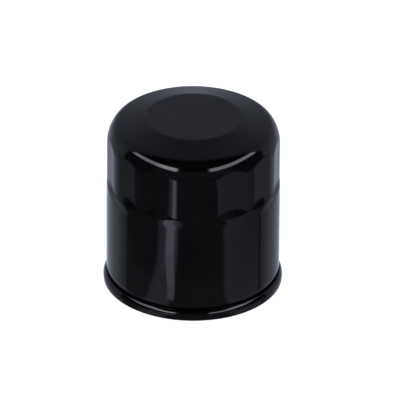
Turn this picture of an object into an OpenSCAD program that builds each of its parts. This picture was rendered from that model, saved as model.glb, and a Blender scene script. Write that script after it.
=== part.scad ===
// Spin-on oil filter for small engines, standing on its sealing gasket with its closed end up.
// Millimetres, +Z up. The origin is on the axis of the thread, in the plane of the gasket's sealing face.

/* [Canister] */
// Outside diameter of the drawn steel can
body_d = 66; // [64:0.5:68]
// Overall height, from the gasket's sealing face to the flat crown
height = 70.8; // [66:0.2:78]
// Thickness of the can's sheet
can_t = 0.4; // [0.35:0.05:0.4]
// Number of wrench flats
flat_count = 14; // [12:1:16]
// Depth of a flat at its middle, below the round body
flat_depth = 0.75; // [0.5:0.05:0.8]
// Height at which the flats have run out into the round body
flats_bottom = 43.8; // [38:0.1:48]
// Height of the ramp between a flat and the round body
flats_ramp = 2.8; // [2:0.1:5]
// Diameter of the flat crown
crown_d = 36; // [30:1:40]
// Fall of the ring around the crown, in degrees
crown_slope = 13.5; // [8:0.5:16]
// Width of the shoulder, whose section is a quarter of an ellipse
shoulder_w = 5.2; // [4:0.1:8]
// Height of the shoulder
shoulder_h = 10; // [8:0.1:12]

/* [Seam and lid] */
// Height of the seam's lowest edge above the sealing face
seam_z = 1.2; // [1:0.1:1.5]
// Distance that the seam stands out from the body
seam_w = 1.16; // [1.1:0.02:1.3]
// Depth of the neck that the seaming roll leaves above the seam
neck_depth = 0.5; // [0.4:0.05:0.6]
// Thickness of the lid's sheet
lid_t = 0.35; // [0.35:0.05:0.4]
// Diameter of the lid's inner opening
lid_hole_d = 42; // [41.6:0.2:43]

/* [Threaded plate] */
// Minor diameter of the M20 x 1.5 thread
thread_minor_d = 18.376; // [18:0.001:18.7]
// Diameter of the plate
plate_d = 60; // [58:0.5:61]
// Thickness of the plate
plate_t = 3.2; // [2.8:0.1:3.6]
// Outside diameter of the drawn hub
hub_d = 25; // [24:0.1:25]
// Height of the hub above the plate
hub_h = 5.2; // [5:0.1:6.5]
// Number of oil inlet holes
inlet_count = 8; // [6:1:10]
// Diameter of an oil inlet hole
inlet_d = 5.5; // [4:0.1:5.5]
// Diameter of the circle of inlet holes
inlet_pcd = 36; // [35:0.5:36]

/* [Gasket] */
// Outside diameter of the sealing gasket
gasket_od = 62; // [61:0.2:62.2]
// Inside diameter of the sealing gasket
gasket_id = 54.2; // [54.2:0.2:55]
// Height of the gasket, which also sets the depth of its channel
gasket_h = 4.2; // [4:0.1:4.6]
// Number of lugs that hold the gasket in its channel
gasket_lugs = 8; // [6:1:12]

/* [Element] */
// Number of pleats, not counting the one at the clip
pleat_count = 44; // [36:1:48]
// Diameter over the pleats
pleat_od = 55.2; // [52:0.2:55.6]
// Diameter inside the pleats
pleat_id = 32.6; // [32.4:0.2:34]
// Thickness of the filter paper
paper_t = 0.5; // [0.4:0.05:0.55]
// Outside diameter of the end caps
end_cap_d = 57.2; // [56.8:0.2:58]
// Outside diameter of the centre tube
tube_d = 31; // [30.5:0.1:31.2]
// Diameter of a hole in the centre tube
tube_hole_d = 3.6; // [2.5:0.1:3.8]
// Height of the support spring between element and dome
support_h = 12; // [11:0.2:13]

/* [Relief valve] */
// Diameter of the relief port in the upper end cap
port_d = 8.4; // [6:0.2:9]
// Diameter of the valve disc
valve_d = 15.6; // [14:0.2:16]
// Depth of the cage that hangs below the upper end cap
cage_depth = 12.5; // [12:0.1:15]
// Mean diameter of the relief spring
relief_spring_d = 10.8; // [9:0.2:11.6]
// Wire diameter of the relief spring
relief_wire_d = 0.9; // [0.7:0.05:1]

/* [Hidden] */

$fn = 72;
ARC_STEP = 9;          // degrees between the points of an arc in an outline
PAST = 1;              // how far a cutter runs past what it cuts
PLAY = 0.02;           // gap between the folded layers of the seam
TOUCH = 0.05;          // gap between round or sprung faces that rest on each other

// Levels, from the sealing face up
plate_z = gasket_h + lid_t;
plate_top = plate_z + plate_t;
hub_top = plate_top + hub_h;
valve_flange_t = 1.4;
element_z = hub_top + valve_flange_t;
end_cap_t = 0.4;
tube_z = element_z + end_cap_t;
cap_top = height - can_t - support_h;
tube_top = cap_top - end_cap_t;
bond_t = 1.2;
media_z = tube_z + bond_t;
media_top = tube_top - bond_t;

// Radii
body_r = body_d / 2;
crown_r = crown_d / 2;
flat_r = body_r - flat_depth;
tube_r = tube_d / 2;
tube_t = 0.5;
end_cap_r = end_cap_d / 2;
end_cap_corner = 0.8;
end_cap_rim = 3.4;

// The seam, layer by layer from the can's neck outwards: cover hook, body hook, seaming wall
neck_r = body_r - neck_depth;
wall_r = neck_r - can_t / 2;
cover_r = neck_r + PLAY + lid_t / 2;
seaming_r = body_r + seam_w - lid_t / 2;
hook_r = (cover_r + seaming_r) / 2;
chuck_r = neck_r - can_t - TOUCH - lid_t / 2;
seam_corner = 0.5;
seam_h = 4.1;
seam_floor = seam_z + lid_t / 2;

// The seaming wall leans in to the fold at the seam's top
lean_r = 3 - lid_t / 2;
lean_angle = 33;
fold_r = 0.3;
fold_z = seam_z + seam_h - lid_t / 2 - fold_r;
lean_rise = seaming_r - lean_r * (1 - cos(lean_angle)) - cover_r - fold_r * (1 + cos(lean_angle));
lean_z = fold_z + fold_r * sin(lean_angle) - lean_rise / tan(lean_angle) - lean_r * sin(lean_angle);
hook_turn_r = (hook_r - wall_r) / 2;
hook_turn_z = seam_z + lid_t + 0.075 + can_t / 2 + hook_turn_r;
hook_top = lean_z + 0.85;

// The neck: an arc in from the body, and a smaller one back to the upright
neck_top = seam_z + seam_h + 2.9;
neck_angle = 20;
neck_bend = 6;
neck_back = neck_depth / (1 - cos(neck_angle)) - neck_bend;
neck_low = neck_top - (neck_bend + neck_back) * sin(neck_angle);
can_join_z = neck_top + 1;     // where the hooked edge of the can meets its wall

// The relief valve hangs below the upper end cap and opens downwards
cage_t = 0.5;
cage_r = 9.4;
cage_flange_r = 14.2;
cage_floor = tube_top - cage_depth + cage_t;
seal_t = 0.8;
disc_t = 0.6;
disc_z = tube_top - seal_t - disc_t;
stem_r = 1.4;
stem_neck_r = 1.15;
stem_below_cage = 0.7;

black = [0.03, 0.03, 0.035];
steel = [0.62, 0.63, 0.65];
rubber = [0.06, 0.06, 0.06];

// ---- Outlines ----

function unit(v) = v / norm(v);
function left_of(v) = [-v[1], v[0]];
function turn(v, angle) = [v[0] * cos(angle) - v[1] * sin(angle), v[0] * sin(angle) + v[1] * cos(angle)];

// Points of an arc about centre c, from angle a0 to a1
function arc(c, r, a0, a1) =
    let (steps = max(2, ceil(abs(a1 - a0) / ARC_STEP)))
    [for (i = [0 : steps]) let (a = a0 + (a1 - a0) * i / steps) c + r * [cos(a), sin(a)]];

// The step to the left at point i of path p, for an offset of 1 with mitred corners
function mitre(p, i) =
    let (last = len(p) - 1,
         before = left_of(unit(i > 0 ? p[i] - p[i - 1] : p[1] - p[0])),
         after = left_of(unit(i < last ? p[i + 1] - p[i] : p[last] - p[last - 1])),
         middle = unit(before + after))
    middle / (middle * before);

function offset_path(p, d) = [for (i = [0 : len(p) - 1]) p[i] + d * mitre(p, i)];

function reversed(p) = [for (i = [len(p) - 1 : -1 : 0]) p[i]];

// Path p without its first point, to follow a path that already ends there
function onward(p) = [for (i = [1 : len(p) - 1]) p[i]];

// The closed outline of a sheet of thickness t whose middle follows path p
function sheet(p, t) = concat(offset_path(p, t / 2), reversed(offset_path(p, -t / 2)));

// A round sheet-metal piece whose middle follows path p of [radius, height]
module turned_sheet(p, t) {
    rotate_extrude() polygon(sheet(p, t));
}

// A ring with a rectangular section
module ring(r_out, r_in, z, h) {
    translate([0, 0, z]) difference() {
        cylinder(r = r_out, h = h);
        translate([0, 0, -PAST]) cylinder(r = r_in, h = h + 2 * PAST);
    }
}

// Repeats its children around the axis
module around(count, start = 0) {
    for (i = [0 : count - 1]) rotate(start + i * 360 / count) children();
}

// ---- Casing ----

// The shoulder: an elliptical arc, tangent to the sloping ring and to the body
function shoulder() =
    let (start = atan2(shoulder_h, shoulder_w * tan(crown_slope)),
         start_r = body_r - shoulder_w + shoulder_w * cos(start),
         start_z = height - (start_r - crown_r) * tan(crown_slope),
         centre = [body_r - shoulder_w, start_z - shoulder_h * sin(start)],
         steps = ceil(start / (ARC_STEP / 2)))
    [for (i = [0 : steps])
        let (a = start * (1 - i / steps))
        centre + [shoulder_w * cos(a), shoulder_h * sin(a)]];

// The can's outside, from the crown's centre down to the height z
function can_line(z) = concat([[0, height], [crown_r, height]], shoulder(), [[body_r, z]]);

// The ramp below the flats: a cone from the depth of their middles out past the body
function ramp_line() =
    let (fall = flat_depth / flats_ramp)
    [[flat_r - 2 * PAST, flats_bottom + flats_ramp + 2 * PAST / fall],
     [body_r + 2 * PAST, flats_bottom - 2 * PAST / fall]];

// The solid inside the can's outside surface moved inwards by inset, down to the height z
module can_form(inset, z) {
    line = offset_path(can_line(z), -inset);
    intersection() {
        rotate_extrude() polygon(concat([[0, z]], line));
        union() {
            flat_prism(inset, z);
            ramp_cone(inset, z);
        }
    }
}

// A prism whose sides are the flats
module flat_prism(inset, z) {
    corner_r = (flat_r - inset) / cos(180 / flat_count);
    translate([0, 0, z - PAST]) linear_extrude(height - z + 2 * PAST)
        polygon([for (i = [0 : flat_count - 1])
            let (a = -90 + (i + 0.5) * 360 / flat_count)
            corner_r * [cos(a), sin(a)]]);
}

module ramp_cone(inset, z) {
    line = offset_path(ramp_line(), -inset);
    rotate_extrude() polygon(concat([[0, z - PAST], [0, line[0][1]]], line, [[line[1][0], z - PAST]]));
}

module canister() {
    hook = concat(
        [[body_r - can_t / 2, can_join_z]],
        arc([body_r - neck_bend, neck_top], neck_bend - can_t / 2, 0, -neck_angle),
        onward(arc([neck_r + neck_back, neck_low], neck_back + can_t / 2, 180 - neck_angle, 180)),
        arc([wall_r + hook_turn_r, hook_turn_z], hook_turn_r, 180, 360),
        [[hook_r, hook_top]]);
    color(black) {
        difference() {
            can_form(0, can_join_z);
            can_form(can_t, can_join_z - PAST);
        }
        turned_sheet(hook, can_t);
    }
}

// The lid's middle line: welded inner ring, rib, gasket channel, chuck wall and the seam's fold
function lid_path() =
    let (z = plate_z - lid_t / 2,
         rib_r = gasket_id / 2 - 0.9,
         rib_half = 0.4,
         rib_floor = 2.8)
    concat(
        [[lid_hole_d / 2, z]],
        arc([rib_r - rib_half - seam_corner, z - seam_corner], seam_corner, 90, 0),
        arc([rib_r, rib_floor], rib_half, 180, 360),
        arc([rib_r + rib_half + seam_corner, z - seam_corner], seam_corner, 180, 90),
        arc([chuck_r - 0.75, z - 0.75], 0.75, 90, 0),
        arc([chuck_r + seam_corner, seam_floor + seam_corner], seam_corner, 180, 270),
        arc([seaming_r - seam_corner, seam_floor + seam_corner], seam_corner, 270, 360),
        arc([seaming_r - lean_r, lean_z], lean_r, 0, lean_angle),
        arc([cover_r + fold_r, fold_z], fold_r, lean_angle, 180),
        [[cover_r, hook_turn_z + 0.3]]);

module seam_lid() {
    weld_r = 23.2;
    weld_dimple_r = 1.2;
    weld_dimple_depth = 0.12;
    color(black) difference() {
        turned_sheet(lid_path(), lid_t);
        around(inlet_count, 180 / inlet_count)
            translate([weld_r, 0, gasket_h - PAST])
                cylinder(r = weld_dimple_r, h = PAST + weld_dimple_depth, $fn = 32);
    }
}

module seam_compound() {
    color([0.75, 0.72, 0.62])
        ring(hook_r + can_t / 2 - PLAY, hook_r - can_t / 2 + PLAY, hook_top + PLAY, 0.22);
}

module threaded_plate() {
    bore_r = thread_minor_d / 2;
    entry = 1;
    exit = 0.7;
    hub_r = hub_d / 2;
    root = 1.2;
    color(steel) difference() {
        rotate_extrude() polygon(concat(
            [[bore_r + entry, plate_z], [plate_d / 2 - 0.3, plate_z], [plate_d / 2, plate_z + 0.3],
             [plate_d / 2, plate_top - 0.3], [plate_d / 2 - 0.3, plate_top]],
            reversed(arc([hub_r + root, plate_top + root], root, 180, 270)),
            [[hub_r, hub_top - 0.4], [hub_r - 0.4, hub_top],
             [bore_r + exit, hub_top], [bore_r, hub_top - exit], [bore_r, plate_z + entry]]));
        around(inlet_count)
            translate([inlet_pcd / 2, 0, plate_z - PAST]) cylinder(d = inlet_d, h = plate_t + 2 * PAST);
    }
}

module sealing_gasket() {
    r_out = gasket_od / 2;
    r_in = gasket_id / 2;
    foot = 0.35;
    head = 0.45;
    lug_r = 1.5;
    lug_at = chuck_r - lid_t / 2 - TOUCH - lug_r;
    color(rubber) {
        rotate_extrude() polygon([
            [r_in + foot, 0], [r_out - foot, 0], [r_out, foot], [r_out, gasket_h - head],
            [r_out - head, gasket_h], [r_in + head, gasket_h], [r_in, gasket_h - head], [r_in, foot]]);
        around(gasket_lugs)
            translate([lug_at, 0, gasket_h / 2]) cylinder(r = lug_r, h = 1.2, $fn = 24);
    }
}

// ---- Drain-back valve: one rubber moulding, whose collar is clamped and whose skirt lifts ----

skirt_root_r = 15.1;

module drain_valve_collar() {
    r_in = hub_d / 2 + TOUCH;
    r_out = skirt_root_r - 0.1;
    foot_z = plate_top + 1.9;
    color(rubber) rotate_extrude() polygon([
        [r_in, foot_z], [r_out, foot_z], [r_out, hub_top - 0.2], [r_out + 0.6, hub_top + 0.3],
        [r_out + 0.6, element_z], [thread_minor_d / 2 + 1.2, element_z],
        [thread_minor_d / 2 + 1.2, hub_top], [r_in, hub_top]]);
}

module drain_valve_skirt() {
    lip_r = 25.4;
    root_z = plate_top + 2;
    color(rubber) rotate_extrude() polygon([
        [skirt_root_r, root_z], [lip_r - 2.2, plate_top + 0.35], [lip_r - 1.6, plate_top],
        [lip_r, plate_top], [lip_r, plate_top + 0.5], [lip_r - 1, plate_top + 1.1],
        [skirt_root_r + 1, root_z + 1.4], [skirt_root_r, root_z + 1.4]]);
}

// ---- Element ----

// A pressed end cap: flat from radius r_in to a rolled rim that points up (way 1) or down (way -1)
module end_cap(r_in, z, way) {
    middle = end_cap_r - end_cap_t / 2;
    side = way > 0 ? -90 : 90;
    rim = z + way * end_cap_rim;
    turned_sheet(concat(
        [[r_in, z]],
        arc([middle - end_cap_corner, z + way * end_cap_corner], end_cap_corner, side, 0),
        [[middle, rim]]), end_cap_t);
}

module lower_end_cap() {
    color(steel) end_cap(11.2, element_z + end_cap_t / 2, 1);
}

module upper_end_cap() {
    color(steel) end_cap(port_d / 2, cap_top - end_cap_t / 2, -1);
}

module bond_ring(z) {
    color([0.55, 0.12, 0.1])
        ring(end_cap_r - end_cap_t - end_cap_corner, tube_r + TOUCH, z, bond_t);
}

module lower_bond_ring() {
    bond_ring(tube_z);
}

module upper_bond_ring() {
    bond_ring(media_top);
}

module centre_tube() {
    rows = 8;
    per_row = 8;
    row_h = (tube_top - tube_z) / rows;
    color(steel) difference() {
        ring(tube_r, tube_r - tube_t, tube_z, tube_top - tube_z);
        for (row = [0 : rows - 1])
            translate([0, 0, tube_z + (row + 0.5) * row_h])
                around(per_row, (row % 2) * 180 / per_row)
                    rotate([0, 90, 0]) cylinder(d = tube_hole_d, h = tube_r + PAST, $fn = 32);
    }
}

// The paper's middle line: a trapezoid wave round the tube, with both ends side by side at the clip
seam_angle = 9;
paper_end_r = 26.2;
function on_spoke(r, angle, aside) = turn([r, aside], angle);
function media_path() =
    let (pitch = (360 - seam_angle) / pleat_count,
         r_in = (pleat_id + paper_t) / 2,
         r_out = (pleat_od - paper_t) / 2,
         half_tip = 0.42,
         end_gap = paper_t / 2 + 0.03)
    concat(
        [on_spoke(paper_end_r, 0, end_gap), on_spoke(r_in, 0, end_gap),
         on_spoke(r_in, seam_angle / 2, 0)],
        [for (k = [0 : pleat_count - 1], tip = [0 : 3])
            let (at = seam_angle / 2 + k * pitch)
            if (k < pleat_count - 1 || tip < 2)
                tip < 2 ? on_spoke(r_out, at + pitch / 2, (tip == 0 ? -1 : 1) * half_tip)
                        : on_spoke(r_in, at + pitch, (tip == 2 ? -1 : 1) * half_tip)],
        [on_spoke(r_in, -seam_angle / 2, 0), on_spoke(r_in, 0, -end_gap),
         on_spoke(paper_end_r, 0, -end_gap)]);

module pleated_media() {
    color([0.86, 0.72, 0.42]) translate([0, 0, media_z])
        linear_extrude(media_top - media_z) polygon(sheet(media_path(), paper_t));
}

module media_clip() {
    clip_t = 0.3;
    leg = paper_t + 0.06 + clip_t / 2;
    inner_r = 22.4;
    outer_r = paper_end_r + 0.1 + clip_t / 2;
    color(steel) translate([0, 0, media_z]) linear_extrude(media_top - media_z)
        polygon(sheet([[inner_r, -leg], [outer_r, -leg], [outer_r, leg], [inner_r, leg]], clip_t));
}

// ---- Relief valve ----

module relief_valve_cage() {
    window_w = 6;
    window_h = 5.5;
    middle = cage_r - cage_t / 2;
    flange_z = tube_top - cage_t / 2;
    color(steel) difference() {
        turned_sheet(concat(
            [[cage_flange_r, flange_z]],
            arc([middle + 0.6, flange_z - 0.6], 0.6, 90, 180),
            [[middle, cage_floor + 0.6]],
            [[middle - 0.25, cage_floor], [middle - 0.85, cage_floor - cage_t / 2],
             [stem_r + 0.1, cage_floor - cage_t / 2]]), cage_t);
        around(4, 45) translate([cage_r - 2, -window_w / 2, cage_floor + 2.6])
            cube([4, window_w, window_h]);
    }
}

module relief_valve_seal() {
    color(rubber) ring(valve_d / 2, port_d / 2 + 0.4, tube_top - seal_t, seal_t);
}

module relief_valve_disc() {
    color(steel) ring(valve_d / 2, stem_neck_r + TOUCH, disc_z, disc_t);
}

module relief_valve_stem() {
    foot = cage_floor - cage_t - stem_below_cage;
    head_r = 2.6;
    head_t = 0.6;
    color(steel) rotate_extrude() polygon([
        [0, foot], [stem_r - 0.3, foot], [stem_r, foot + 0.3], [stem_r, disc_z],
        [stem_neck_r, disc_z], [stem_neck_r, disc_z + disc_t], [head_r, disc_z + disc_t],
        [head_r, disc_z + disc_t + head_t / 2], [head_r - 0.5, disc_z + disc_t + head_t],
        [0, disc_z + disc_t + head_t]]);
}

// Height of the wire's middle after u turns of a spring with closed ends
function wire_z(u, turns, h, d) =
    let (closed = 1.06 * d,
         active = (h - d - 2 * closed) / (turns - 2))
    d / 2 + (u < 1 ? u * closed
           : u > turns - 1 ? h - d - (turns - u) * closed
           : closed + (u - 1) * active);

// A compression spring of overall height h, swept as one closed polyhedron
module coil_spring(mean_r, wire_d, h, turns) {
    sides = 10;
    per_turn = 24;
    rings = round(turns * per_turn);
    points = [for (i = [0 : rings], j = [0 : sides - 1])
        let (u = i / per_turn, a = j * 360 / sides, r = mean_r + wire_d / 2 * cos(a))
        [r * cos(360 * u), r * sin(360 * u), wire_z(u, turns, h, wire_d) + wire_d / 2 * sin(a)]];
    walls = [for (i = [0 : rings - 1], j = [0 : sides - 1])
        let (k = (j + 1) % sides)
        [i * sides + j, i * sides + k, (i + 1) * sides + k, (i + 1) * sides + j]];
    ends = [[for (j = [sides - 1 : -1 : 0]) j], [for (j = [0 : sides - 1]) rings * sides + j]];
    polyhedron(points, concat(walls, ends));
}

module relief_valve_spring() {
    color(steel) translate([0, 0, cage_floor])
        coil_spring(relief_spring_d / 2, relief_wire_d, disc_z - cage_floor, 6);
}

// ---- Support spring: a leaf spring whose arms press on the sloping ring of the dome ----

leaf_t = 0.6;
leaf_w = 8;
leaf_ring_r = 12.4;

function dome_inside(r) =
    height - (r - crown_r) * tan(crown_slope) - can_t / cos(crown_slope);

function leaf_path() =
    let (foot_r = 2.5,
         tip_r = 2,
         tip_at = 20.4,
         z = cap_top + leaf_t / 2,
         foot = [leaf_ring_r, z + foot_r],
         tip_edge = norm([tip_at, leaf_w / 2]),
         tip = [tip_at, dome_inside(tip_edge) - (tip_r + leaf_t / 2 + TOUCH) / cos(crown_slope)],
         apart = tip - foot,
         rise = atan2(apart[1], apart[0]) + asin((foot_r + tip_r) / norm(apart)),
         droop = 35)
    concat(
        [[leaf_ring_r - 3, z]],
        arc(foot, foot_r, -90, rise - 90),
        arc(tip, tip_r, rise + 90, 90 - droop),
        [tip + tip_r * [sin(droop), cos(droop)] + 1.4 * [cos(droop), -sin(droop)]]);

module support_spring() {
    color(steel) {
        ring(leaf_ring_r, 6.5, cap_top, leaf_t);
        around(4, 45) rotate([90, 0, 0])
            linear_extrude(leaf_w, center = true) polygon(sheet(leaf_path(), leaf_t));
    }
}

canister();
seam_lid();
seam_compound();
threaded_plate();
sealing_gasket();
drain_valve_collar();
drain_valve_skirt();
lower_end_cap();
lower_bond_ring();
centre_tube();
pleated_media();
media_clip();
upper_bond_ring();
upper_end_cap();
relief_valve_cage();
relief_valve_seal();
relief_valve_disc();
relief_valve_stem();
relief_valve_spring();
support_spring();
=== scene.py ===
import math
from functools import partial

import bmesh
import bpy
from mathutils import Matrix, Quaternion, Vector


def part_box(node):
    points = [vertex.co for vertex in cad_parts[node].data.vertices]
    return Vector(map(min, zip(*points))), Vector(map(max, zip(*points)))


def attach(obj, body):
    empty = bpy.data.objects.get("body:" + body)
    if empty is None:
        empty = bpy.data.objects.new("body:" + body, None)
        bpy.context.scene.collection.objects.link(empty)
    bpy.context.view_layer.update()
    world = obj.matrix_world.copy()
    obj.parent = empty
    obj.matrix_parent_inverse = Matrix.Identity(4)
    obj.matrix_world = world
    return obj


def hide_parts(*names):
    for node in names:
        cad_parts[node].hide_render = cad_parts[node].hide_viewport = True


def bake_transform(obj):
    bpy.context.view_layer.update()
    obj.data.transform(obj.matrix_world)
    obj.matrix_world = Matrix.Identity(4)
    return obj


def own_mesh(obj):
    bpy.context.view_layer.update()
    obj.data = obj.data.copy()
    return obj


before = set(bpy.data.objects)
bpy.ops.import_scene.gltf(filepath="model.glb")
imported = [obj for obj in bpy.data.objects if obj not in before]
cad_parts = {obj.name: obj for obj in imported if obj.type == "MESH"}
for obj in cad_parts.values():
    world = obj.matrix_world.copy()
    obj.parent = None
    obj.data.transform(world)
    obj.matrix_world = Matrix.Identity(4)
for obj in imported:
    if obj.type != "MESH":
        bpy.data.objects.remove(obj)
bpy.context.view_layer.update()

# A spin-on oil filter, standing on its gasket with the closed end up. The axis is X = Y = 0 and +Z is up.
# Each piece is built in millimetres, as an outline turned about the axis, a swept wire or a bent sheet,
# and is scaled to metres as it becomes a mesh.

MM = 0.001

# ---- Sizes, in millimetres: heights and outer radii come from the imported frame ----


def low(node):
    """Height of a node's lowest point."""
    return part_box(node)[0].z / MM


def top(node):
    """Height of a node's highest point."""
    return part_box(node)[1].z / MM


def outside(node):
    """Outer radius of a round node."""
    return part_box(node)[1].y / MM


CAN_T = 0.4
LID_T = 0.35
PLAY = 0.02  # between the folded layers of the seam
TOUCH = 0.05  # between round faces that rest on each other
BODY_R = 33.0
HEIGHT = top("canister")
CROWN_R, CROWN_SLOPE = 18.0, 13.5  # the slope, in degrees, is of the ring round the crown
SHOULDER_W, SHOULDER_H = 5.2, 10.0
FLAT_COUNT = 14
FLAT_R = BODY_R - 0.75
RIDGE_R = 13.0  # of the rounded ridges between the flats
FLAT_LOW, FLAT_RAMP = 43.8, 2.8  # the level where the flats have run out, and the ramp's height above it
PRESSED_R = BODY_R - 4  # the pressing of the flats moves nothing nearer to the axis
WAVE_Z, WAVE_DEPTH = FLAT_LOW - 1.3, 0.15  # the slight wave that the pressing leaves under the flats
WAVE_UP, WAVE_DOWN = 3.0, 2.7
SEAM_R = outside("seam_lid")
SEAM_LOW, SEAM_TOP = low("seam_lid"), top("seam_lid")
PLATE_LOW, HUB_TOP = low("threaded_plate"), top("threaded_plate")
PLATE_TOP = PLATE_LOW + 3.2
PLATE_R = outside("threaded_plate")
HUB_R = 12.5
GASKET_IN, GASKET_OUT, GASKET_LUGS = 27.1, 31.0, 8
INLET_COUNT, INLET_R, INLET_AT = 8, 2.75, 18.0
THREAD_R, THREAD_MAJOR_R, THREAD_PITCH = 9.188, 10.0, 1.5
CAP_T = 0.4
TUBE_R = 15.5
PAPER_T = 0.5
PAPER_END_R = 26.2  # where the paper's two ends stop, inside the clip

# ---- Outlines: lists of (radius, height) ----


def arc(centre, radii, start, end, steps):
    """Points along an arc, by angles in degrees. radii is a number, or an ellipse's two half axes."""
    across, up = radii if isinstance(radii, tuple) else (radii, radii)
    angles = [math.radians(start + (end - start) * i / steps) for i in range(steps + 1)]
    return [(centre[0] + across * math.cos(a), centre[1] + up * math.sin(a)) for a in angles]


def line(start, end, steps):
    """Points from start to end, without the last."""
    return [tuple(s + (e - s) * i / steps for s, e in zip(start, end)) for i in range(steps)]


def offset(path, distance):
    """The path moved to its left by distance, with mitred corners."""
    steps = [(Vector(b) - Vector(a)).normalized() for a, b in zip(path, path[1:])]
    normals = [Vector((-s.y, s.x)) for s in steps]
    moved = []
    for i, point in enumerate(path):
        before, after = normals[max(i - 1, 0)], normals[min(i, len(normals) - 1)]
        mitre = (before + after).normalized()
        moved.append(tuple(Vector(point) + mitre * (distance / mitre.dot(before))))
    return moved


def sheet(path, thickness):
    """The closed outline of sheet metal whose middle follows path."""
    return offset(path, thickness / 2) + offset(path, -thickness / 2)[::-1]


def rounded(corners, radius, steps=4, closed=True):
    """Straight sides joined by rounded corners. radius is a number, or one for each corner."""
    radii = radius if isinstance(radius, (list, tuple)) else [radius] * len(corners)
    made = []
    for i, (corner, r) in enumerate(zip(corners, radii)):
        here = Vector(corner)
        if r == 0 or (not closed and i in (0, len(corners) - 1)):
            made.append(tuple(corner))
            continue
        before = (Vector(corners[i - 1]) - here).normalized()
        after = (Vector(corners[(i + 1) % len(corners)]) - here).normalized()
        half = before.angle(after) / 2
        middle = here + (before + after).normalized() * (r / math.sin(half))
        first = here + before * (r / math.tan(half)) - middle
        last = here + after * (r / math.tan(half)) - middle
        turn = math.atan2(first.x * last.y - first.y * last.x, first.dot(last))
        for k in range(steps + 1):
            c, s = math.cos(turn * k / steps), math.sin(turn * k / steps)
            made.append((middle.x + first.x * c - first.y * s, middle.y + first.x * s + first.y * c))
    return made


def smooth_min(a, b, reach):
    """The lower of a and b, with a rounded change from one to the other."""
    h = max(reach - abs(a - b), 0.0) / reach
    return min(a, b) - h * h * reach / 4


def smooth_max(a, b, reach):
    """The higher of a and b, with a rounded change from one to the other."""
    return -smooth_min(-a, -b, reach)


def hump(distance, half_width):
    """1 at distance 0, falling smoothly to 0 at half_width and beyond."""
    return 0.5 + 0.5 * math.cos(math.pi * min(abs(distance) / half_width, 1.0))


# ---- Materials ----


class Nodes:
    """Builds a node tree. add() makes a node, sets or links its inputs and returns one output."""

    def __init__(self, tree):
        self.tree = tree
        tree.nodes.clear()

    def add(self, kind, inputs=None, output=0, **settings):
        node = self.tree.nodes.new(kind)
        for name, value in settings.items():
            setattr(node, name, value)
        for name, value in (inputs or {}).items():
            if isinstance(value, bpy.types.NodeSocket):
                self.tree.links.new(value, node.inputs[name])
            else:
                node.inputs[name].default_value = value
        return node.outputs[output] if node.outputs else node

    def math(self, operation, *values):
        return self.add("ShaderNodeMath", dict(enumerate(values)), operation=operation)

    def ranged(self, value, from_low, from_high, to_low, to_high):
        """value moved smoothly from one range to another, and kept inside it."""
        ends = {"From Min": from_low, "From Max": from_high, "To Min": to_low, "To Max": to_high}
        return self.add("ShaderNodeMapRange", {"Value": value, **ends}, interpolation_type="SMOOTHSTEP")

    def ramp(self, value, *points):
        """A smoothed line through (value, strength) points."""
        total = points[0][1]
        for (a, low_strength), (b, high_strength) in zip(points, points[1:]):
            total = self.math("ADD", self.ranged(value, a, b, 0.0, high_strength - low_strength), total)
        return total

    def band(self, value, start, end, soft):
        """1 between start and end, and 0 outside them."""
        return self.math("MULTIPLY", self.ranged(value, start - soft, start + soft, 0.0, 1.0),
                         self.ranged(value, end - soft, end + soft, 1.0, 0.0))

    def mixed(self, share, first, second):
        """A colour between two colours. The mix node's sockets are told apart only by their numbers."""
        return self.add("ShaderNodeMix", {0: share, 6: first, 7: second}, 2, data_type="RGBA")

    def split(self, vector):
        """The three parts of a vector."""
        return self.add("ShaderNodeSeparateXYZ", {"Vector": vector}).node.outputs


class Surface(Nodes):
    """A Principled material in the making. Patterns are sized in millimetres, in the object's own space."""

    def __init__(self, name):
        self.material = bpy.data.materials.new(name)
        self.material.use_nodes = True
        super().__init__(self.material.node_tree)
        self.place = self.add("ShaderNodeTexCoord", output="Object")
        self.normal = None

    def noise(self, size, detail=2.0, stretch=(1, 1, 1), roughness=0.5):
        """A noise pattern whose features are about size across. stretch above 1 draws them out that way."""
        scale = tuple(1 / s for s in stretch)
        place = self.add("ShaderNodeMapping", {"Vector": self.place, "Scale": scale})
        inputs = {"Vector": place, "Scale": 1 / (size * MM), "Detail": detail, "Roughness": roughness}
        return self.add("ShaderNodeTexNoise", inputs)

    def speckle(self, size):
        """The distance to scattered points about size apart."""
        return self.add("ShaderNodeTexVoronoi", {"Vector": self.place, "Scale": 1 / (size * MM)})

    def polar(self):
        """Distance from the axis and height, in millimetres, and the angle round the axis."""
        x, y, z = (self.math("DIVIDE", part, MM) for part in self.split(self.place))
        r = self.math("SQRT", self.math("ADD", self.math("MULTIPLY", x, x), self.math("MULTIPLY", y, y)))
        return r, z, self.math("ARCTAN2", y, x)

    def around(self, size, detail=2.0):
        """Noise drawn out round the axis, as turning, rolling or drawing leaves it."""
        r, z, angle = self.polar()
        place = self.add("ShaderNodeCombineXYZ", {"X": r, "Y": z, "Z": self.math("MULTIPLY", angle, 1 / 3)})
        inputs = {"Vector": place, "Scale": 1 / size, "Detail": detail}
        return self.add("ShaderNodeTexNoise", inputs)

    def bump(self, height, depth, strength=1.0):
        """Adds relief of about depth millimetres."""
        inputs = {"Height": height, "Distance": depth * MM, "Strength": strength}
        if self.normal is not None:
            inputs["Normal"] = self.normal
        self.normal = self.add("ShaderNodeBump", inputs)

    def finish(self, colour, roughness, **constants):
        """Links the pattern outputs to the shader. Constants are set on the shader's own sockets."""
        inputs = {"Base Color": colour, "Roughness": roughness}
        inputs.update({name.replace("_", " "): value for name, value in constants.items()})
        if self.normal is not None:
            inputs["Normal"] = self.normal
        shader = self.add("ShaderNodeBsdfPrincipled", inputs)
        self.add("ShaderNodeOutputMaterial", {"Surface": shader})
        return self.material


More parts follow.
